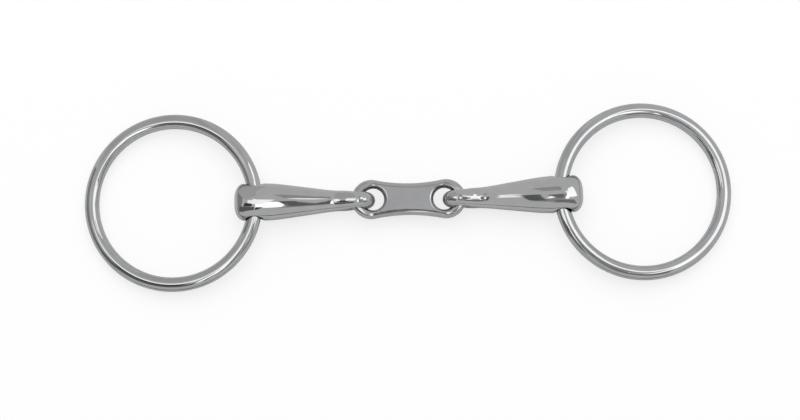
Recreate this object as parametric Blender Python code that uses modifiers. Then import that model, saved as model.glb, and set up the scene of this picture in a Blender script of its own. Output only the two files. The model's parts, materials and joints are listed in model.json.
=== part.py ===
"""Loose-ring French-link snaffle bit in polished stainless steel.

The bit lies flat on the ground plane Z = 0. +X runs along the mouthpiece from the left ring to the
right ring, +Y points away from the viewer and +Z is up. The origin is under the middle of the whole
bit. Five pieces form a chain: ring, cannon, link plate, cannon, ring.

Each cannon is modelled along its own +X, from the centre of its eye towards its ring hole. The same
frame is used on both sides, turned half way round for the left side.
"""

import math

import bmesh
import bpy
from mathutils import Matrix, Vector

# --- Driving dimensions, in metres and radians -------------------------------------------------

# Cheek rings: round wire
RING_RADIUS = 0.0357
WIRE_RADIUS = 0.00315

# Cannons: distances along the cannon are counted from the centre of its eye
EYE_RADIUS = 0.0072
EYE_HOLE_RADIUS = 0.0038
EYE_HALF_WIDTH = 0.0035
EYE_RIM_RADIUS = 0.0013
EYE_RUNOUT = 0.0150
NECK_HALF_WIDTH = 0.0039
NECK_HALF_HEIGHT = 0.0046
BUTT_HALF_WIDTH = 0.00828
BUTT_HALF_HEIGHT = 0.0081
RING_HOLE_RADIUS = 0.0044
RING_HOLE_DISTANCE = 0.0451
BUTT_END_DISTANCE = 0.0538
WIDTH_TAPER = 0.1364
WIDTH_TAPER_START = 0.0064
HEIGHT_TAPER = 0.1167
HEIGHT_TAPER_START = 0.0080
BELLY_DISTANCE = 0.0410

# Butt end of a cannon: its top and bottom fall away towards a crowned end band
SHOULDER_DISTANCE = 0.0440
SHOULDER_LENGTH = 0.0113
END_ROUND_DEPTH = 0.0070
END_ROUND_HALF_WIDTH = 0.00835
END_ROUND_POWER = 2.85
END_CROWN_RADIUS = 0.0100

# Link plate
LINK_THICKNESS = 0.0048
LINK_END_RADIUS = 0.0086
LINK_END_DISTANCE = 0.0162
LINK_WAIST_HALF_WIDTH = 0.00695
LINK_HOLE_RADIUS = 0.0049
LINK_HOLE_DISTANCE = 0.01538
LINK_EDGE_RADIUS = 0.0019
LINK_RIM_RADIUS = 0.0012

# How the pieces lie, relative to the middle of the link plate
LINK_HEIGHT = 0.0069
LINK_YAW = math.radians(0.67)
LEFT_EYE = (-0.0218, -0.0007)
LEFT_YAW = math.radians(181.0)
LEFT_RING_REACH = 0.0354
LEFT_RING_SLIP = -0.0006
RIGHT_EYE = (0.0219, 0.00013)
RIGHT_YAW = math.radians(2.45)
RIGHT_RING_REACH = 0.03487
RIGHT_RING_SLIP = 0.0

# Facets
RING_SEGMENTS = 60
WIRE_SEGMENTS = 16
CANNON_STATIONS = 32
CANNON_SIDES = 32
HOLE_SEGMENTS = 32
RIM_STEPS = 4

STEEL = {"colour": (0.50, 0.50, 0.505, 1.0), "metallic": 1.0}


# --- Helpers ---------------------------------------------------------------------------------


def clear_scene():
    for obj in list(bpy.data.objects):
        bpy.data.objects.remove(obj, do_unlink=True)


def new_collection(name):
    collection = bpy.data.collections.new(name)
    bpy.context.scene.collection.children.link(collection)
    return collection


def steel(name, roughness):
    """Polished stainless steel for one piece."""
    material = bpy.data.materials.new(name)
    material.use_nodes = True
    shader = material.node_tree.nodes["Principled BSDF"]
    shader.inputs["Base Color"].default_value = STEEL["colour"]
    shader.inputs["Metallic"].default_value = STEEL["metallic"]
    shader.inputs["Roughness"].default_value = roughness
    return material


def object_from_bmesh(name, shape, collection):
    mesh = bpy.data.meshes.new(name)
    shape.to_mesh(mesh)
    shape.free()
    obj = bpy.data.objects.new(name, mesh)
    collection.objects.link(obj)
    return obj


def move_to_collection(obj, collection):
    for owner in list(obj.users_collection):
        owner.objects.unlink(obj)
    collection.objects.link(obj)


def shade_round(obj, sharp_angle=math.radians(25)):
    obj.data.shade_smooth()
    obj.data.set_sharp_from_angle(angle=sharp_angle)


def boolean(obj, cutter, operation):
    """Cut or trim obj with cutter, which stays in the scene as a hidden wire shape."""
    modifier = obj.modifiers.new(cutter.name, "BOOLEAN")
    modifier.operation = operation
    modifier.object = cutter
    modifier.solver = "EXACT"
    cutter.hide_render = True
    cutter.display_type = "WIRE"


def smooth_min(a, b, blend):
    """The smaller of two lengths, with the corner between them rounded over the length blend."""
    h = max(blend - abs(a - b), 0.0) / blend
    return min(a, b) - h * h * blend / 4


def smooth_max(a, b, blend):
    return -smooth_min(-a, -b, blend)


def smooth_step(edge_0, edge_1, x):
    t = min(max((x - edge_0) / (edge_1 - edge_0), 0.0), 1.0)
    return t * t * (3 - 2 * t)


def superellipse(half_width, half_height, power, sides):
    """Points of a superellipse, anticlockwise from its +first axis."""
    points = []
    for i in range(sides):
        angle = 2 * math.pi * i / sides
        c, s = math.cos(angle), math.sin(angle)
        reach = (abs(c) ** power + abs(s) ** power) ** (-1 / power)
        points.append((half_width * reach * c, half_height * reach * s))
    return points


def skin(loops):
    """A closed body over a row of loops with equal counts, capped at both ends."""
    shape = bmesh.new()
    rows = [[shape.verts.new(point) for point in loop] for loop in loops]
    count = len(rows[0])
    for low, high in zip(rows, rows[1:]):
        for i in range(count):
            j = (i + 1) % count
            shape.faces.new((low[i], low[j], high[j], high[i]))
    shape.faces.new(reversed(rows[0]))
    shape.faces.new(rows[-1])
    bmesh.ops.recalc_face_normals(shape, faces=shape.faces)
    return shape


def rounded_hole(name, radius, rim_radius, half_length, collection):
    """A spool-shaped cutter along Z: a plain hole whose rims open out in a quarter round."""
    rim = []
    for i in range(RIM_STEPS + 1):
        angle = math.pi / 2 * i / RIM_STEPS
        x = radius + rim_radius * (1 - math.cos(angle))
        rim.append((x, 0, half_length - rim_radius * (1 - math.sin(angle))))
    past_rim = half_length + 0.0010
    upper = rim + [(radius + rim_radius, 0, past_rim), (0, 0, past_rim)]
    profile = upper[::-1] + [(x, y, -z) for x, y, z in upper]
    shape = bmesh.new()
    points = [shape.verts.new(point) for point in profile]
    for a, b in zip(points, points[1:]):
        shape.edges.new((a, b))
    cutter = object_from_bmesh(name, shape, collection)
    turn = cutter.modifiers.new("Turn", "SCREW")
    turn.axis = "Z"
    turn.steps = HOLE_SEGMENTS
    turn.render_steps = HOLE_SEGMENTS
    turn.use_merge_vertices = True
    turn.merge_threshold = 0.00001
    return cutter


# --- Rings -----------------------------------------------------------------------------------


def make_ring(name, collection):
    bpy.ops.mesh.primitive_torus_add(
        major_radius=RING_RADIUS,
        minor_radius=WIRE_RADIUS,
        major_segments=RING_SEGMENTS,
        minor_segments=WIRE_SEGMENTS,
    )
    ring = bpy.context.object
    ring.name = name
    ring.data.name = name
    move_to_collection(ring, collection)
    ring.data.shade_smooth()
    ring.data.materials.append(steel(name + "_steel", roughness=0.16))
    return ring


# --- Cannons ---------------------------------------------------------------------------------


def cannon_half_width(u):
    """Half width in plan at distance u from the eye: a straight taper between neck and butt."""
    taper = NECK_HALF_WIDTH + WIDTH_TAPER * (u - WIDTH_TAPER_START)
    bar = smooth_min(BUTT_HALF_WIDTH, smooth_max(NECK_HALF_WIDTH, taper, 0.0012), 0.0010)
    width = EYE_HALF_WIDTH + (bar - EYE_HALF_WIDTH) * smooth_step(-0.0005, 0.0070, u)
    if u < 0:
        width *= max(1 - (-u / EYE_RADIUS) ** 2.6, 0.0) ** (1 / 2.6)
    return width


def cannon_half_height(u):
    """Half height in side view: the round eye, the neck, the taper and the falling shoulder."""
    taper = NECK_HALF_HEIGHT + HEIGHT_TAPER * (u - HEIGHT_TAPER_START)
    bar = smooth_min(BUTT_HALF_HEIGHT, smooth_max(NECK_HALF_HEIGHT, taper, 0.0012), 0.0014)
    if u > SHOULDER_DISTANCE:
        fall = (u - SHOULDER_DISTANCE) / SHOULDER_LENGTH
        bar *= math.sqrt(1 - fall * fall)
    if u < 0:
        return math.sqrt(max(EYE_RADIUS**2 - u * u, 0.0))
    return EYE_RADIUS - (EYE_RADIUS - bar) * smooth_step(0.0, EYE_RUNOUT, u)


def cannon_stations():
    """Distances of the cross-sections, closer together round the eye and at the butt end."""
    tip = [-EYE_RADIUS * math.cos(0.12 + (math.pi / 2 - 0.12) * i / 9) for i in range(10)]
    end = BUTT_END_DISTANCE + 0.0008
    bar = []
    for i in range(1, CANNON_STATIONS + 1):
        t = i / CANNON_STATIONS
        bar.append(end * (t - 0.06 * math.sin(2 * math.pi * t)))
    return tip + bar


def cannon_bar():
    loops = []
    for u in cannon_stations():
        power = 2.6 - 0.6 * smooth_step(0.0, 0.0120, u)
        outline = superellipse(cannon_half_width(u), cannon_half_height(u), power, CANNON_SIDES)
        loops.append([(u, y, z) for y, z in outline])
    return skin(loops)


def butt_outline(inset, height):
    """Plan outline at one height that the butt end is trimmed to, open-ended past the eye."""
    depth = END_ROUND_DEPTH - inset
    half_width = END_ROUND_HALF_WIDTH - inset
    centre = BUTT_END_DISTANCE - END_ROUND_DEPTH
    half = []
    for i in range(17):
        angle = math.pi / 2 * (i / 8 - 1)
        c, s = max(math.cos(angle), 0.0), math.sin(angle)
        reach = (c**END_ROUND_POWER + abs(s) ** END_ROUND_POWER) ** (-1 / END_ROUND_POWER)
        half.append((centre + depth * reach * c, half_width * reach * s, height))
    past_eye = -2 * EYE_RADIUS
    return half + [(past_eye, half_width, height), (past_eye, -half_width, height)]


def butt_trim():
    """A slab, crowned in height, whose outline rounds off the butt end."""
    loops = []
    top = 0.0090
    for i in range(13):
        height = top * (i / 6 - 1)
        inset = END_CROWN_RADIUS - math.sqrt(END_CROWN_RADIUS**2 - height**2)
        loops.append(butt_outline(inset, height))
    return skin(loops)


def ring_hole(name, collection):
    """A cutter for the plain hole that the ring runs through, from side to side."""
    shape = bmesh.new()
    bmesh.ops.create_cone(
        shape,
        cap_ends=True,
        segments=HOLE_SEGMENTS,
        radius1=RING_HOLE_RADIUS,
        radius2=RING_HOLE_RADIUS,
        depth=4 * BUTT_HALF_WIDTH,
    )
    cutter = object_from_bmesh(name, shape, collection)
    cutter.location = (RING_HOLE_DISTANCE, 0, 0)
    cutter.rotation_euler = (math.pi / 2, 0, 0)
    return cutter


def eye_hole(name, collection):
    """A cutter for the eye, with rounded rims."""
    cutter = rounded_hole(name, EYE_HOLE_RADIUS, EYE_RIM_RADIUS, EYE_HALF_WIDTH, collection)
    cutter.rotation_euler = (math.pi / 2, 0, 0)
    return cutter


def make_cannon(name, parts, cutters):
    cannon = object_from_bmesh(name, cannon_bar(), parts)
    trim = object_from_bmesh(name + "_end_trim", butt_trim(), cutters)
    boolean(cannon, trim, "INTERSECT")
    holes = (eye_hole(name + "_eye_hole", cutters), ring_hole(name + "_ring_hole", cutters))
    for hole in holes:
        boolean(cannon, hole, "DIFFERENCE")
    for cutter in (trim, *holes):
        cutter.parent = cannon
    shade_round(cannon)
    cannon.data.materials.append(steel(name + "_steel", roughness=0.08))
    return cannon


# --- Link plate ------------------------------------------------------------------------------


def arc(centre, radius, start, end, count):
    """Points along an arc, both ends included; angles in radians."""
    points = []
    for i in range(count + 1):
        angle = start + (end - start) * i / count
        points.append((centre[0] + radius * math.cos(angle), centre[1] + radius * math.sin(angle)))
    return points


def link_outline():
    """Two round ends joined by hollow waist arcs that touch them."""
    rise = LINK_END_RADIUS - LINK_WAIST_HALF_WIDTH
    waist_radius = (
        LINK_END_DISTANCE**2 + LINK_WAIST_HALF_WIDTH**2 - LINK_END_RADIUS**2
    ) / (2 * rise)
    centre_y = LINK_WAIST_HALF_WIDTH + waist_radius
    touch = math.atan2(centre_y, LINK_END_DISTANCE)
    right_end = arc((LINK_END_DISTANCE, 0), LINK_END_RADIUS, touch - math.pi, math.pi - touch, 28)
    top_waist = arc((0, centre_y), waist_radius, -touch, touch - math.pi, 10)
    half = right_end + top_waist[1:-1]
    return half + [(-x, -y) for x, y in half]


def link_plate(name, collection):
    """The plate before its holes: a flat outline with a rounded edge, made into a mesh."""
    curve = bpy.data.curves.new(name, "CURVE")
    curve.dimensions = "2D"
    curve.fill_mode = "BOTH"
    curve.extrude = LINK_THICKNESS / 2 - LINK_EDGE_RADIUS
    curve.bevel_depth = LINK_EDGE_RADIUS
    curve.bevel_resolution = 3
    curve.offset = -LINK_EDGE_RADIUS
    outline = link_outline()
    spline = curve.splines.new("POLY")
    spline.points.add(len(outline) - 1)
    for point, (x, y) in zip(spline.points, outline):
        point.co = (x, y, 0, 1)
    spline.use_cyclic_u = True
    guide = bpy.data.objects.new(name + "_outline", curve)
    collection.objects.link(guide)
    bpy.context.view_layer.update()
    evaluated = guide.evaluated_get(bpy.context.evaluated_depsgraph_get())
    mesh = bpy.data.meshes.new_from_object(evaluated)
    mesh.name = name
    plate = bpy.data.objects.new(name, mesh)
    plate.matrix_world = guide.matrix_world
    bpy.data.objects.remove(guide, do_unlink=True)
    collection.objects.link(plate)
    shape = bmesh.new()
    shape.from_mesh(mesh)
    bmesh.ops.remove_doubles(shape, verts=shape.verts, dist=0.00001)
    bmesh.ops.recalc_face_normals(shape, faces=shape.faces)
    shape.to_mesh(mesh)
    shape.free()
    return plate


def make_link(name, parts, cutters):
    link = link_plate(name, parts)
    for side, distance in (("left", -LINK_HOLE_DISTANCE), ("right", LINK_HOLE_DISTANCE)):
        hole = rounded_hole(
            "link_hole_" + side, LINK_HOLE_RADIUS, LINK_RIM_RADIUS, LINK_THICKNESS / 2, cutters
        )
        hole.location = (distance, 0, 0)
        hole.parent = link
        boolean(link, hole, "DIFFERENCE")
    shade_round(link)
    link.data.materials.append(steel(name + "_steel", roughness=0.12))
    return link


# --- Assembly --------------------------------------------------------------------------------


def cannon_pitch():
    """The slope of a cannon that rests on its eye and on the belly of its butt."""
    return math.asin((BUTT_HALF_HEIGHT - EYE_RADIUS) / BELLY_DISTANCE)


def ring_tilt(reach):
    """The slope of a ring that hangs in its hole and rests on the ground at its far side."""
    hole_height = EYE_RADIUS + RING_HOLE_DISTANCE * math.sin(cannon_pitch())
    return math.asin((hole_height - WIRE_RADIUS) / (reach + RING_RADIUS))


def ring_centre(eye, yaw, reach, slip):
    """Middle of a ring in plan, relative to the middle of the link plate."""
    along = RING_HOLE_DISTANCE * math.cos(cannon_pitch()) + reach * math.cos(ring_tilt(reach))
    x = eye[0] + along * math.cos(yaw) - slip * math.sin(yaw)
    y = eye[1] + along * math.sin(yaw) + slip * math.cos(yaw)
    return x, y


def link_position():
    """Where the link plate goes so that the whole bit is centred over the origin."""
    left_x, left_y = ring_centre(LEFT_EYE, LEFT_YAW, LEFT_RING_REACH, LEFT_RING_SLIP)
    right_x, right_y = ring_centre(RIGHT_EYE, RIGHT_YAW, RIGHT_RING_REACH, RIGHT_RING_SLIP)
    left_tilt = ring_tilt(LEFT_RING_REACH)
    right_tilt = ring_tilt(RIGHT_RING_REACH)
    width_difference = RING_RADIUS * (math.cos(right_tilt) - math.cos(left_tilt))
    x = -(left_x + right_x + width_difference) / 2
    y = -(left_y + right_y) / 2
    return Vector((x, y, LINK_HEIGHT))


def add_side(side, eye, yaw, reach, slip, middle, parts, cutters):
    """One cannon and its ring, placed and hinged. slip: how far the ring sits sideways."""
    cannon = make_cannon(side + "_cannon", parts, cutters)
    cannon.location = (middle.x + eye[0], middle.y + eye[1], EYE_RADIUS)
    cannon.rotation_euler = (0, -cannon_pitch(), yaw)

    pivot = bpy.data.objects.new(side + "_ring_pivot", None)
    parts.objects.link(pivot)
    pivot.empty_display_size = 0.01
    pivot.parent = cannon
    pivot.location = (RING_HOLE_DISTANCE, 0, 0)
    pivot.rotation_euler = (0, cannon_pitch() + ring_tilt(reach), 0)

    ring = make_ring(side + "_ring", parts)
    ring.parent = pivot
    ring.location = (reach, slip, 0)


def main():
    clear_scene()
    parts = new_collection("snaffle_bit")
    cutters = new_collection("snaffle_bit_cutters")
    middle = link_position()
    link = make_link("centre_link", parts, cutters)
    link.location = middle
    link.rotation_euler = (0, 0, LINK_YAW)
    left = (LEFT_EYE, LEFT_YAW, LEFT_RING_REACH, LEFT_RING_SLIP)
    right = (RIGHT_EYE, RIGHT_YAW, RIGHT_RING_REACH, RIGHT_RING_SLIP)
    add_side("left", *left, middle, parts, cutters)
    add_side("right", *right, middle, parts, cutters)
    bpy.context.view_layer.update()


main()
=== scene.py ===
"""The looks of a loose-ring French-link snaffle bit in mirror-polished stainless steel.

Every CAD node is replaced by a fine mesh of the same piece. A cannon and the link plate are written
as a distance field: a voxel remesh of the CAD solid gives an even cage, whose points are then moved
onto the surface of the field, and the field's slope gives the shading normals. A ring is a torus.
"""

import json
import math

import bpy
import numpy as np
from mathutils import Matrix, Vector


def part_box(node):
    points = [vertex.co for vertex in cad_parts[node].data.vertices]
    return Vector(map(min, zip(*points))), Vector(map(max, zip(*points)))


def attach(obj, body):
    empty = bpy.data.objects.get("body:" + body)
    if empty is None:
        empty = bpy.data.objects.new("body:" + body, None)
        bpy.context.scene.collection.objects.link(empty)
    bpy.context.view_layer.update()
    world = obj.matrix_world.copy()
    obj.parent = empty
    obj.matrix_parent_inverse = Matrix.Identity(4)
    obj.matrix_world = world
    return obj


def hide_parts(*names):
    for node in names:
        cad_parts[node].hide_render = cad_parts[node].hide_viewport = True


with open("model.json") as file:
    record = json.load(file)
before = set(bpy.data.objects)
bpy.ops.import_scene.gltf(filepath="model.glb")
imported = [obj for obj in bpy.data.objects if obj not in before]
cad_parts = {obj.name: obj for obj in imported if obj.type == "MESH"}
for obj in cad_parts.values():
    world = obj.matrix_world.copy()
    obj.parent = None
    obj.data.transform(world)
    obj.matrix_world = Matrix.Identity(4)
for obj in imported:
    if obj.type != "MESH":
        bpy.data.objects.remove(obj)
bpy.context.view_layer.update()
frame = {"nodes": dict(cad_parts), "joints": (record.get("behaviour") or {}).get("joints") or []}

# --- Dimensions, in metres ---------------------------------------------------------------------

# Dimensions that the CAD model names too have its values, except for the radius of the link's holes.
# It is 0.0049 there. Here the holes are tighter in the middle of the plate and flare to its faces.

RING_RADIUS = 0.0357
WIRE_RADIUS = 0.00315

EYE_RADIUS = 0.0072
EYE_HOLE_RADIUS = 0.0038
EYE_HALF_WIDTH = 0.0035
NECK_HALF_WIDTH = 0.0039
NECK_HALF_HEIGHT = 0.0046
NECK_START = 0.0050
NECK_END = 0.0140
BUTT_HALF_WIDTH = 0.00828
BUTT_HALF_HEIGHT = 0.0081
RING_HOLE_RADIUS = 0.0044
RING_HOLE_DISTANCE = 0.0451
BUTT_END_DISTANCE = 0.0538
WIDTH_TAPER = 0.1364
WIDTH_TAPER_START = 0.0064
HEIGHT_TAPER = 0.1167
HEIGHT_TAPER_START = 0.0080
SHOULDER_DISTANCE = 0.0440
SHOULDER_LENGTH = 0.0113
END_ROUND_DEPTH = 0.0070
END_ROUND_HALF_WIDTH = 0.00835
END_ROUND_POWER = 2.85
END_CROWN_RADIUS = 0.0100
END_CROWN_SHARE = 0.9  # of the crown's radius, as far as the crown is followed up and down
SHOULDER_FALL = 0.95  # of the shoulder's length, where the height stops falling
EYE_WIDENING = (-0.0005, 0.0070)  # where the eye's width grows into the neck's

LINK_HALF_THICKNESS = 0.0024
LINK_END_RADIUS = 0.0086
LINK_END_DISTANCE = 0.0162
LINK_WAIST_HALF_WIDTH = 0.00695
LINK_HOLE_RADIUS = 0.0047
LINK_HOLE_DISTANCE = 0.01538
LINK_SIDE_DEPTH = 0.0030
LINK_SIDE_HALF_HEIGHT = 0.00252
LINK_FLARE_POWER = 1.5

# Roundings that polishing leaves
NECK_BLEND = 0.0012
BUTT_WIDTH_BLEND = 0.0010
BUTT_HEIGHT_BLEND = 0.0014
EYE_RUNOUT = 0.0150
EYE_RIM = 0.0010
RING_HOLE_RIM = 0.0005
END_RIDGE = 0.0006
LINK_CREASE = 0.0005
LINK_RIM = 0.0005
LINK_HOLE_FLARE = 0.0012

# Mesh fineness
CANNON_VOXEL = 0.00028
LINK_VOXEL = 0.00025
RING_SEGMENTS = 360
WIRE_SEGMENTS = 48
RELAX_ROUNDS = 6
RELAX_SHARE = 0.6

# What keeps the distance fields and the steps onto their surfaces well behaved
SMALLEST_SHARE = 1e-3
SMALLEST_SLOPE_SQUARED = 0.1
SLOPE_STEP = 2e-6
LONGEST_MOVE = 0.0004
FLARED_HOLE_SCALE = 0.9  # makes up for part of the steepness that the flare adds to the hole's field


# --- Distance fields ---------------------------------------------------------------------------


def smooth_min(a, b, blend):
    """The smaller of a and b, with the corner between them filled over the length blend."""
    h = np.maximum(blend - np.abs(a - b), 0.0) / blend
    return np.minimum(a, b) - h * h * blend / 4


def smooth_max(a, b, blend):
    """The larger of a and b, with the corner between them filled over the length blend."""
    return -smooth_min(-a, -b, blend)


def round_max(a, b, radius):
    """The larger of two distance fields, with the edge between them rounded to a radius."""
    corner = np.hypot(np.maximum(a + radius, 0.0), np.maximum(b + radius, 0.0))
    return np.minimum(-radius, np.maximum(a, b)) + corner


def smooth_step(edge_0, edge_1, x):
    """Rises from 0 at edge_0 to 1 at edge_1, level at both."""
    t = np.clip((x - edge_0) / (edge_1 - edge_0), 0.0, 1.0)
    return t * t * (3 - 2 * t)


def ellipse_field(y, z, half_width, half_height):
    """Distance, measured towards the middle, to an ellipse."""
    share = np.hypot(y / half_width, z / half_height)
    return np.hypot(y, z) * (1 - 1 / np.maximum(share, SMALLEST_SHARE))


def bar_width(u):
    """Half the width of a cannon at the distance u from its eye."""
    taper = NECK_HALF_WIDTH + WIDTH_TAPER * (u - WIDTH_TAPER_START)
    bar = smooth_max(NECK_HALF_WIDTH, taper, NECK_BLEND)
    bar = smooth_min(BUTT_HALF_WIDTH, bar, BUTT_WIDTH_BLEND)
    return EYE_HALF_WIDTH + (bar - EYE_HALF_WIDTH) * smooth_step(*EYE_WIDENING, u)


def bar_height(u):
    """Half the height of a cannon at the distance u from its eye, without the eye itself."""
    taper = NECK_HALF_HEIGHT + HEIGHT_TAPER * (u - HEIGHT_TAPER_START)
    bar = smooth_max(NECK_HALF_HEIGHT, taper, NECK_BLEND)
    bar = smooth_min(BUTT_HALF_HEIGHT, bar, BUTT_HEIGHT_BLEND)
    fall = np.clip((u - SHOULDER_DISTANCE) / SHOULDER_LENGTH, 0.0, SHOULDER_FALL)
    return bar * np.sqrt(1 - fall * fall)


def butt_field(u, y, z):
    """The crowned end band: an outline that shrinks above and below the middle of the bar."""
    reach = END_CROWN_SHARE * END_CROWN_RADIUS
    z = np.clip(z, -reach, reach)
    inset = END_CROWN_RADIUS - np.sqrt(END_CROWN_RADIUS**2 - z * z)
    along = np.maximum(u - (BUTT_END_DISTANCE - END_ROUND_DEPTH), 0.0)
    a = along / (END_ROUND_DEPTH - inset)
    b = np.abs(y) / (END_ROUND_HALF_WIDTH - inset)
    share = (a**END_ROUND_POWER + b**END_ROUND_POWER) ** (1 / END_ROUND_POWER)
    return np.hypot(along, y) * (1 - 1 / np.maximum(share, SMALLEST_SHARE))


def eye_field(u, y, z):
    """The eye and the neck behind it: a disc with a fully rounded rim that runs out into the bar."""
    half_width = bar_width(u)
    from_middle = np.hypot(np.minimum(u, 0.0), z)
    rise = EYE_RADIUS - bar_height(u)
    half_height = EYE_RADIUS - rise * smooth_step(0.0, EYE_RUNOUT, u)
    past_flat = np.maximum(from_middle - (half_height - half_width), 0.0)
    return np.hypot(past_flat, y) - half_width


def cannon_field(points):
    """Negative inside a cannon. Columns are the distance from the eye, across and up."""
    u, y, z = points.T
    bar = ellipse_field(y, z, bar_width(u), bar_height(u))
    bar_share = smooth_step(NECK_START, NECK_END, u)
    solid = bar_share * bar + (1 - bar_share) * eye_field(u, y, z)
    solid = round_max(solid, butt_field(u, y, z), END_RIDGE)
    solid = round_max(solid, EYE_HOLE_RADIUS - np.hypot(u, z), EYE_RIM)
    from_hole = np.hypot(u - RING_HOLE_DISTANCE, z)
    return round_max(solid, RING_HOLE_RADIUS - from_hole, RING_HOLE_RIM)


def link_outline_field(x, y):
    """Distance to the plan outline: two round ends and the hollow waist arcs that touch them."""
    x, y = np.abs(x), np.abs(y)
    rise = LINK_END_RADIUS - LINK_WAIST_HALF_WIDTH
    waist_radius = (
        LINK_END_DISTANCE**2 + LINK_WAIST_HALF_WIDTH**2 - LINK_END_RADIUS**2
    ) / (2 * rise)
    centre_y = LINK_WAIST_HALF_WIDTH + waist_radius
    end = np.hypot(x - LINK_END_DISTANCE, y) - LINK_END_RADIUS
    waist = waist_radius - np.hypot(x, y - centre_y)
    past_touch = x * centre_y + (y - centre_y) * LINK_END_DISTANCE > 0
    return np.where(past_touch, end, waist)


def link_field(points):
    """Negative inside the link plate: flat faces, crowned sides and two round holes."""
    x, y, z = points.T
    outline = link_outline_field(x, y)
    past_face = np.maximum(outline + LINK_SIDE_DEPTH, 0.0)
    past_face = past_face * LINK_SIDE_HALF_HEIGHT / LINK_SIDE_DEPTH
    side = np.hypot(past_face, z) - LINK_SIDE_HALF_HEIGHT
    plate = round_max(side, np.abs(z) - LINK_HALF_THICKNESS, LINK_CREASE)
    flare = LINK_HOLE_FLARE * (np.abs(z) / LINK_HALF_THICKNESS) ** LINK_FLARE_POWER
    from_hole = np.hypot(np.abs(x) - LINK_HOLE_DISTANCE, y)
    hole = FLARED_HOLE_SCALE * (LINK_HOLE_RADIUS + flare - from_hole)
    return round_max(plate, hole, LINK_RIM)


def field_slope(field, points):
    """How fast the field grows along x, y and z, which points straight out of the surface."""
    slope = np.empty_like(points)
    for axis in range(3):
        shift = np.zeros(3)
        shift[axis] = SLOPE_STEP
        slope[:, axis] = (field(points + shift) - field(points - shift)) / (2 * SLOPE_STEP)
    return slope


def onto_surface(field, points, rounds=4):
    """Moves points along the slope of the field until they lie on its surface."""
    for _ in range(rounds):
        slope = field_slope(field, points)
        size = np.maximum((slope * slope).sum(axis=1), SMALLEST_SLOPE_SQUARED)
        move = slope * (field(points) / size)[:, None]
        length = np.linalg.norm(move, axis=1)
        limit = np.minimum(1.0, LONGEST_MOVE / np.maximum(length, 1e-12))
        points = points - move * limit[:, None]
    return points


# --- Where the pieces are ----------------------------------------------------------------------

joints = {joint["name"]: joint for joint in frame["joints"]}


def axes_matrix(origin, x_axis, y_axis):
    """A frame from its origin, its x axis and roughly its y axis."""
    x_axis = Vector(x_axis).normalized()
    z_axis = x_axis.cross(Vector(y_axis)).normalized()
    y_axis = z_axis.cross(x_axis)
    matrix = Matrix((x_axis, y_axis, z_axis)).transposed().to_4x4()
    matrix.translation = Vector(origin)
    return matrix


def node_points(node):
    """The points of a CAD node, which are in world coordinates."""
    mesh = frame["nodes"][node].data
    points = np.empty(len(mesh.vertices) * 3)
    mesh.vertices.foreach_get("co", points)
    return points.reshape(-1, 3)


def cannon_frame(side):
    """Origin at the eye's centre, x towards the ring hole, z up."""
    eye = Vector(joints[side + "_cannon_fold"]["pos_m"])
    ring_hole = Vector(joints[side + "_ring_swing"]["pos_m"])
    along = (ring_hole - eye).normalized()
    return axes_matrix(eye, along, Vector((0, 0, 1)).cross(along))


def link_frame():
    """Origin in the plate's middle, x along it to the right, z up."""
    low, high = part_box("centre_link")
    points = node_points("centre_link")
    spread = points - points.mean(axis=0)
    long_axis = np.linalg.svd(spread, full_matrices=False)[2][0]
    long_axis = Vector(long_axis) * math.copysign(1, long_axis[0])
    long_axis.z = 0
    return axes_matrix((low + high) / 2, long_axis, Vector((0, 0, 1)).cross(long_axis))


def ring_frame(side):
    """Origin at the ring's middle, x towards the hole that it runs through, z square to it."""
    points = node_points(side + "_ring")
    middle = points.mean(axis=0)
    normal = Vector(np.linalg.svd(points - middle, full_matrices=False)[2][2])
    normal *= math.copysign(1, normal.z)
    towards_hole = Vector(joints[side + "_ring_swing"]["pos_m"]) - Vector(middle)
    towards_hole -= normal * towards_hole.dot(normal)
    return axes_matrix(middle, towards_hole, normal.cross(towards_hole))


# --- Meshes --------------------------------------------------------------------------------------


def to_local(matrix, points):
    inverse = np.array(matrix.inverted())
    return points @ inverse[:3, :3].T + inverse[:3, 3]


def to_world(matrix, points):
    matrix = np.array(matrix)
    return points @ matrix[:3, :3].T + matrix[:3, 3]


def set_grain(mesh, grain):
    """Coordinates along, across and through the polish, for the material's fine lines."""
    attribute = mesh.attributes.new("grain", "FLOAT_VECTOR", "POINT")
    attribute.data.foreach_set("vector", np.ascontiguousarray(grain, dtype=np.float32).ravel())


def voxel_cage(node, voxel):
    """An even quad mesh over a CAD node."""
    source = frame["nodes"][node]
    cage = bpy.data.objects.new(node + "_cage", source.data.copy())
    bpy.context.scene.collection.objects.link(cage)
    remesh = cage.modifiers.new("Voxels", "REMESH")
    remesh.mode = "VOXEL"
    remesh.voxel_size = voxel
    remesh.adaptivity = 0
    bpy.context.view_layer.update()
    evaluated = cage.evaluated_get(bpy.context.evaluated_depsgraph_get())
    mesh = bpy.data.meshes.new_from_object(evaluated)
    bpy.data.objects.remove(cage, do_unlink=True)
    return mesh


def relax(points, edges, valence):
    """One step of each point towards the middle of its neighbours."""
    total = np.zeros_like(points)
    np.add.at(total, edges[:, 0], points[edges[:, 1]])
    np.add.at(total, edges[:, 1], points[edges[:, 0]])
    return points + RELAX_SHARE * (total / valence[:, None] - points)


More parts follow.
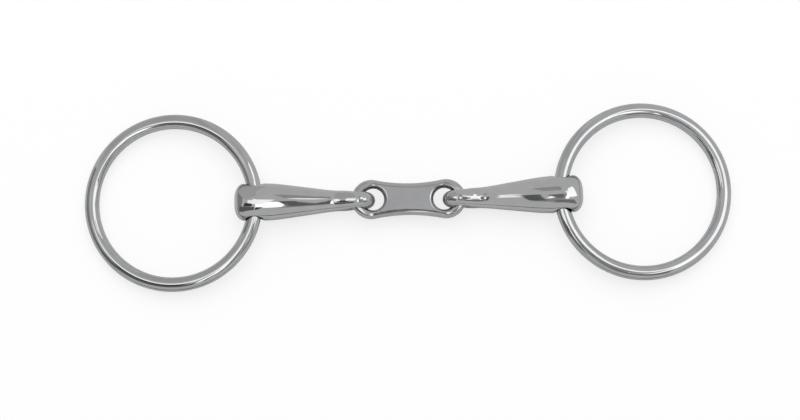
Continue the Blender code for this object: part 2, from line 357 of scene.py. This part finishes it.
def field_piece(name, node, field, matrix, voxel):
    """A fine mesh of a CAD node, lying on the surface of its distance field."""
    mesh = voxel_cage(node, voxel)
    mesh.name = name
    count = len(mesh.vertices)
    world = np.empty(count * 3)
    mesh.vertices.foreach_get("co", world)
    edges = np.empty(len(mesh.edges) * 2, dtype=np.int64)
    mesh.edges.foreach_get("vertices", edges)
    edges = edges.reshape(-1, 2)
    valence = np.bincount(edges.ravel(), minlength=count).astype(float)
    points = onto_surface(field, to_local(matrix, world.reshape(-1, 3)), rounds=8)
    for _ in range(RELAX_ROUNDS):
        points = onto_surface(field, relax(points, edges, valence), rounds=3)
    points = onto_surface(field, points)
    normals = field_slope(field, points)
    normals /= np.linalg.norm(normals, axis=1)[:, None]
    mesh.vertices.foreach_set("co", to_world(matrix, points).ravel())
    mesh.update()
    mesh.shade_smooth()
    world_normals = normals @ np.array(matrix)[:3, :3].T
    mesh.normals_split_custom_set_from_vertices(world_normals.tolist())
    set_grain(mesh, points)
    piece = bpy.data.objects.new(name, mesh)
    bpy.context.scene.collection.objects.link(piece)
    return piece


def ring_piece(name, matrix):
    """A torus whose seam lies inside the hole that the ring runs through."""
    turn = 2 * np.pi * np.arange(RING_SEGMENTS) / RING_SEGMENTS
    roll = 2 * np.pi * np.arange(WIRE_SEGMENTS) / WIRE_SEGMENTS
    turn, roll = np.meshgrid(turn, roll, indexing="ij")
    outward = np.cos(roll)
    upward = np.sin(roll)
    normals = np.stack((outward * np.cos(turn), outward * np.sin(turn), upward), axis=-1)
    middle = RING_RADIUS * np.stack((np.cos(turn), np.sin(turn), np.zeros_like(turn)), axis=-1)
    points = (middle + WIRE_RADIUS * normals).reshape(-1, 3)
    index = np.arange(RING_SEGMENTS * WIRE_SEGMENTS).reshape(RING_SEGMENTS, WIRE_SEGMENTS)
    ahead = np.roll(index, -1, axis=0)
    corners = (index, ahead, np.roll(ahead, -1, axis=1), np.roll(index, -1, axis=1))
    faces = np.stack(corners, axis=-1)
    mesh = bpy.data.meshes.new(name)
    mesh.from_pydata(to_world(matrix, points).tolist(), [], faces.reshape(-1, 4).tolist())
    mesh.update()
    mesh.shade_smooth()
    grain = np.stack((RING_RADIUS * turn, WIRE_RADIUS * outward, WIRE_RADIUS * upward), axis=-1)
    set_grain(mesh, grain.reshape(-1, 3))
    piece = bpy.data.objects.new(name, mesh)
    bpy.context.scene.collection.objects.link(piece)
    return piece


# --- Materials -----------------------------------------------------------------------------------


class Nodes:
    """Shorthand for building a material's node tree."""

    def __init__(self, name):
        self.material = bpy.data.materials.new(name)
        self.material.use_nodes = True
        self.tree = self.material.node_tree
        self.shader = self.tree.nodes["Principled BSDF"]

    def add(self, kind, **settings):
        node = self.tree.nodes.new(kind)
        for key, value in settings.items():
            setattr(node, key, value)
        return node

    def join(self, output, target):
        self.tree.links.new(output, target)

    def length(self, vector):
        node = self.add("ShaderNodeVectorMath", operation="LENGTH")
        self.join(vector, node.inputs[0])
        return node.outputs["Value"]

    def math(self, operation, first, second):
        node = self.add("ShaderNodeMath", operation=operation)
        for socket, value in zip(node.inputs, (first, second)):
            if isinstance(value, (int, float)):
                socket.default_value = value
            else:
                self.join(value, socket)
        return node.outputs[0]

    def grain(self):
        return self.add("ShaderNodeAttribute", attribute_name="grain").outputs["Vector"]

    def stretched(self, vector, factors):
        node = self.add("ShaderNodeVectorMath", operation="MULTIPLY")
        node.inputs[1].default_value = factors
        self.join(vector, node.inputs[0])
        return node.outputs[0]

    def noise(self, vector, scale, detail=2.0):
        node = self.add("ShaderNodeTexNoise")
        node.inputs["Scale"].default_value = scale
        node.inputs["Detail"].default_value = detail
        self.join(vector, node.inputs["Vector"])
        return node.outputs["Fac"]

    def spread(self, value, low, high, to_low, to_high):
        """Maps the range low to high onto to_low to to_high, and holds it beyond."""
        node = self.add("ShaderNodeMapRange")
        node.inputs["From Min"].default_value = low
        node.inputs["From Max"].default_value = high
        node.inputs["To Min"].default_value = to_low
        node.inputs["To Max"].default_value = to_high
        self.join(value, node.inputs["Value"])
        return node.outputs["Result"]

    def tint(self, factor, dark, light):
        node = self.add("ShaderNodeValToRGB")
        node.color_ramp.elements[0].color = (*dark, 1)
        node.color_ramp.elements[1].color = (*light, 1)
        self.join(factor, node.inputs["Fac"])
        return node.outputs["Color"]

    def bump(self, height, distance, normal=None):
        node = self.add("ShaderNodeBump")
        node.inputs["Distance"].default_value = distance
        self.join(height, node.inputs["Height"])
        if normal is not None:
            self.join(normal, node.inputs["Normal"])
        return node.outputs["Normal"]


# The colour of the steel's clean and hazy parts
BRIGHT_STEEL = (0.530, 0.533, 0.540), (0.585, 0.588, 0.595)
SATIN_STEEL = (0.500, 0.503, 0.512), (0.545, 0.549, 0.558)
WIRE_STEEL = (0.505, 0.509, 0.517), (0.580, 0.585, 0.593)


# Roughness of the clean and the hazy parts, and depth of the slight waves
LINK_POLISH = (0.08, 0.11)
CANNON_POLISH = (0.03, 0.07)
RING_POLISH = (0.02, 0.05)
LINK_RIPPLE = 5e-7
BAR_RIPPLE = 1e-6

# How fine each noise is: features in a metre along, across and through the polish
LINE_SCALE = (90, 5200, 5200)
SCRATCH_SCALE = (420, 2600, 2600)
WAVE_SCALE = (160, 330, 330)
HAZE_SCALE = 170

# The part of each noise that is spread over the steel's range
HAZE_RANGE = (0.36, 0.68)
SCRATCH_RANGE = (0.62, 0.74)
TONE_RANGE = (0.35, 0.65)

LINE_DEPTH = 2e-7
SCRATCH_ROUGHNESS = 0.07
RUBBED_ROUGHNESS = 0.10
RUBBED_WIDTH = 0.0012


def steel(name, tones, polish, ripple, worn=None):
    """Stainless steel with haze, fine polishing lines, scratches and slight waves."""
    nodes = Nodes(name)
    grain = nodes.grain()
    lines = nodes.noise(nodes.stretched(grain, LINE_SCALE), 1.0, detail=3.0)
    scratches = nodes.noise(nodes.stretched(grain, SCRATCH_SCALE), 1.0, detail=1.0)
    haze = nodes.noise(grain, HAZE_SCALE, detail=3.0)
    waves = nodes.noise(nodes.stretched(grain, WAVE_SCALE), 1.0, detail=1.0)
    roughness = nodes.spread(haze, *HAZE_RANGE, *polish)
    scratched = nodes.spread(scratches, *SCRATCH_RANGE, 0.0, SCRATCH_ROUGHNESS)
    roughness = nodes.math("ADD", roughness, scratched)
    if worn is not None:
        roughness = nodes.math("ADD", roughness, worn(nodes, grain))
    tone = nodes.math("ADD", nodes.math("MULTIPLY", haze, 0.6), nodes.math("MULTIPLY", lines, 0.4))
    colour = nodes.tint(nodes.spread(tone, *TONE_RANGE, 0, 1), *tones)
    nodes.join(colour, nodes.shader.inputs["Base Color"])
    nodes.join(roughness, nodes.shader.inputs["Roughness"])
    wavy = nodes.bump(waves, ripple)
    nodes.join(nodes.bump(lines, LINE_DEPTH, wavy), nodes.shader.inputs["Normal"])
    nodes.shader.inputs["Metallic"].default_value = 1.0
    return nodes.material


def rubbed_eye(nodes, grain):
    """Extra roughness in the eye's hole, where the link turns."""
    from_axis = nodes.length(nodes.stretched(grain, (1, 0, 1)))
    past_rim = EYE_HOLE_RADIUS + RUBBED_WIDTH
    return nodes.spread(from_axis, EYE_HOLE_RADIUS, past_rim, RUBBED_ROUGHNESS, 0.0)


# --- The object ----------------------------------------------------------------------------------


def add_piece(piece, node, material):
    """Puts a fine piece in the place of its CAD node."""
    piece.data.materials.clear()
    piece.data.materials.append(material)
    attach(piece, node)
    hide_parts(node)


link = field_piece("link_plate", "centre_link", link_field, link_frame(), LINK_VOXEL)
satin = steel("link_steel", SATIN_STEEL, LINK_POLISH, LINK_RIPPLE)
add_piece(link, "centre_link", satin)
for side in ("left", "right"):
    cannon = field_piece(
        side + "_mouth_bar", side + "_cannon", cannon_field, cannon_frame(side), CANNON_VOXEL
    )
    bright = steel(side + "_cannon_steel", BRIGHT_STEEL, CANNON_POLISH, BAR_RIPPLE, rubbed_eye)
    add_piece(cannon, side + "_cannon", bright)
    ring = ring_piece(side + "_cheek_ring", ring_frame(side))
    wire = steel(side + "_ring_steel", WIRE_STEEL, RING_POLISH, BAR_RIPPLE)
    add_piece(ring, side + "_ring", wire)

# --- Studio --------------------------------------------------------------------------------------

# The floor that the camera sees. Most of its brightness is its own glow, and the steel doesn't
# mirror it.
FLOOR_SIZE = 60.0
FLOOR_HEIGHT = -0.0001
FLOOR_TONE = 0.18
FLOOR_GLOW = 0.75
FLOOR_ROUGHNESS = 0.9

# A small, darker floor and a dark strip at its near edge, which show only in the steel
MIRRORED_SIZE = (0.5, 0.12)
MIRRORED_HEIGHT = -0.0002
MIRRORED_TONE = 0.48
SEAM_DEPTH = 0.04
SEAM_TONE = 0.1

LAMP_SIZE = (2.6, 2.0)
LAMP_POWER = 42
LAMP_PLACE = (0, 0.8, 1.7)
ROOM_LIGHT = 0.63

# Panels that show only as reflections in the steel. They stand for a studio that isn't known: their
# places, sizes and brightness were found by a numerical fit to the bands in the photographed steel,
# then changed. Each has the bearing of its middle, clockwise from the far side; its angle
# from straight up; half its width and half its height as angles; its turn about its own middle (all
# in degrees); its distance in metres; and its brightness.
PANELS = {
    "bright_right": (79.4, 35.2, 22.2, 17.5, 19, 3.00, 1.65),
    "bright_near_right": (129.7, 28.3, 13.8, 5.6, 24, 3.00, 1.9),
    "bright_near": (172.0, 24.8, 6.1, 17.2, -8, 2.23, 1.9),
    "bright_left": (254.8, 21.4, 13, 9.8, -13, 1.36, 1.45),
    "grey_low_left": (265.9, 77.9, 28.6, 24.5, -10, 0.94, 0.30),
    "black_near_left": (241.4, 39.0, 13.4, 7.5, 46, 0.40, 0.06),
    "grey_far": (8.4, 27.5, 11.5, 4.4, -71, 0.39, 0.41),
    "pale_far_left": (289.4, 26.8, 4.3, 17.3, 20, 0.39, 0.64),
    "grey_near_right": (151.9, 31.1, 22.5, 7.2, 45, 0.35, 0.36),
    "dark_near": (173.3, 22.9, 3.2, 18.9, 0, 0.29, 0.15),
    "dark_low_near_left": (233.6, 58.6, 27.9, 9.9, 36, 0.29, 0.15),
    "pale_low_far_left": (320.0, 80.4, 26.4, 49.5, -10, 0.24, 0.52),
    "black_near": (202.4, 45.9, 2.7, 7.6, 5, 0.22, 0.05),
    "pale_far_right": (55.8, 35.3, 10.0, 8.8, -37, 0.19, 0.65),
    "dark_low_near_right": (134.2, 55.9, 18.0, 7.9, -31, 0.18, 0.24),
    "bright_left_overhead": (257.2, 23.3, 12, 9.5, -26, 0.18, 1.5),
    "dark_near_right": (122.6, 26.1, 5.5, 9.2, -38, 0.18, 0.2),
}


def glow(name, brightness):
    """A material that gives off white light and nothing else."""
    material = bpy.data.materials.new(name)
    material.use_nodes = True
    tree = material.node_tree
    tree.nodes.clear()
    emission = tree.nodes.new("ShaderNodeEmission")
    emission.inputs["Color"].default_value = (1, 1, 1, 1)
    emission.inputs["Strength"].default_value = brightness
    output = tree.nodes.new("ShaderNodeOutputMaterial")
    tree.links.new(emission.outputs[0], output.inputs["Surface"])
    return material


def show_only_in_steel(thing):
    """Hides a panel or floor from the camera, from matt surfaces and from shadows."""
    thing.visible_camera = False
    thing.visible_diffuse = False
    thing.visible_shadow = False


def add_panel(name, bearing, tilt, half_width, half_height, turn, distance, brightness):
    """A flat panel that faces the bit and shows only in its reflections."""
    bearing, tilt, turn = math.radians(bearing), math.radians(tilt), math.radians(turn)
    sideways = math.sin(tilt)
    outward = Vector((sideways * math.sin(bearing), sideways * math.cos(bearing), math.cos(tilt)))
    across = Vector((0, 0, 1)).cross(outward).normalized()
    up = outward.cross(across)
    across, up = (
        math.cos(turn) * across + math.sin(turn) * up,
        math.cos(turn) * up - math.sin(turn) * across,
    )
    reach_x = distance * math.tan(math.radians(half_width)) * across
    reach_y = distance * math.tan(math.radians(half_height)) * up
    middle = distance * outward
    signs = ((-1, -1), (1, -1), (1, 1), (-1, 1))
    corners = [middle + x * reach_x + y * reach_y for x, y in signs]
    mesh = bpy.data.meshes.new(name)
    mesh.from_pydata([tuple(corner) for corner in corners], [], [(0, 1, 2, 3)])
    mesh.materials.append(glow(name, brightness))
    panel = bpy.data.objects.new(name, mesh)
    bpy.context.scene.collection.objects.link(panel)
    show_only_in_steel(panel)


for name, placing in PANELS.items():
    add_panel("panel_" + name, *placing)


def add_floor(name, height, size, tone, glow_strength):
    """A level, matt rectangle under the bit."""
    bpy.ops.mesh.primitive_plane_add(size=1)
    plane = bpy.context.object
    plane.name = name
    plane.scale = (*size, 1)
    plane.location = (0, 0, height)
    paint = bpy.data.materials.new(name)
    paint.use_nodes = True
    shader = paint.node_tree.nodes["Principled BSDF"]
    shader.inputs["Base Color"].default_value = (tone, tone, tone, 1)
    shader.inputs["Roughness"].default_value = FLOOR_ROUGHNESS
    shader.inputs["Specular IOR Level"].default_value = 0.0
    shader.inputs["Emission Color"].default_value = (1, 1, 1, 1)
    shader.inputs["Emission Strength"].default_value = glow_strength
    plane.data.materials.append(paint)
    return plane


floor = add_floor("floor", FLOOR_HEIGHT, (FLOOR_SIZE, FLOOR_SIZE), FLOOR_TONE, FLOOR_GLOW)
floor.visible_glossy = False
floor.visible_diffuse = False
floor.visible_shadow = False
mirrored = add_floor("floor_in_steel", MIRRORED_HEIGHT, MIRRORED_SIZE, MIRRORED_TONE, 0)
seam_size = (MIRRORED_SIZE[0], SEAM_DEPTH)
seam = add_floor("seam_in_steel", MIRRORED_HEIGHT, seam_size, SEAM_TONE, 0)
seam.location.y = -(MIRRORED_SIZE[1] + SEAM_DEPTH) / 2
for plane in (mirrored, seam):
    show_only_in_steel(plane)

# A wide lamp that stays out of the reflections
lamp_data = bpy.data.lights.new("overhead_lamp", "AREA")
lamp_data.shape = "RECTANGLE"
lamp_data.size, lamp_data.size_y = LAMP_SIZE
lamp_data.energy = LAMP_POWER
lamp = bpy.data.objects.new("overhead_lamp", lamp_data)
lamp.location = LAMP_PLACE
lamp.rotation_euler = (-Vector(LAMP_PLACE)).to_track_quat("-Z", "Y").to_euler()
lamp.visible_camera = False
lamp.visible_glossy = False
bpy.context.scene.collection.objects.link(lamp)

world = bpy.data.worlds.new("studio")
world.use_nodes = True
background = world.node_tree.nodes["Background"]
background.inputs["Color"].default_value = (1, 1, 1, 1)
background.inputs["Strength"].default_value = ROOM_LIGHT
bpy.context.scene.world = world
bpy.context.scene.view_settings.view_transform = "Standard"

# Camera: high over the bit, a little towards the viewer
CAMERA_ELEVATION = math.radians(82)
CAMERA_DISTANCE = 1.2
CAMERA_TARGET = Vector((-0.00353, -0.00578, 0.0069))
FRAME_WIDTH = 0.3471

camera_data = bpy.data.cameras.new("camera")
camera_data.sensor_width = 36
camera_data.lens = camera_data.sensor_width * CAMERA_DISTANCE / FRAME_WIDTH
camera = bpy.data.objects.new("camera", camera_data)
bpy.context.scene.collection.objects.link(camera)
back = Vector((0, -math.cos(CAMERA_ELEVATION), math.sin(CAMERA_ELEVATION)))
camera.location = CAMERA_TARGET + back * CAMERA_DISTANCE
camera.rotation_euler = (-back).to_track_quat("-Z", "Y").to_euler()
camera_data.clip_start = 0.01
camera_data.clip_end = 20
bpy.context.scene.camera = camera
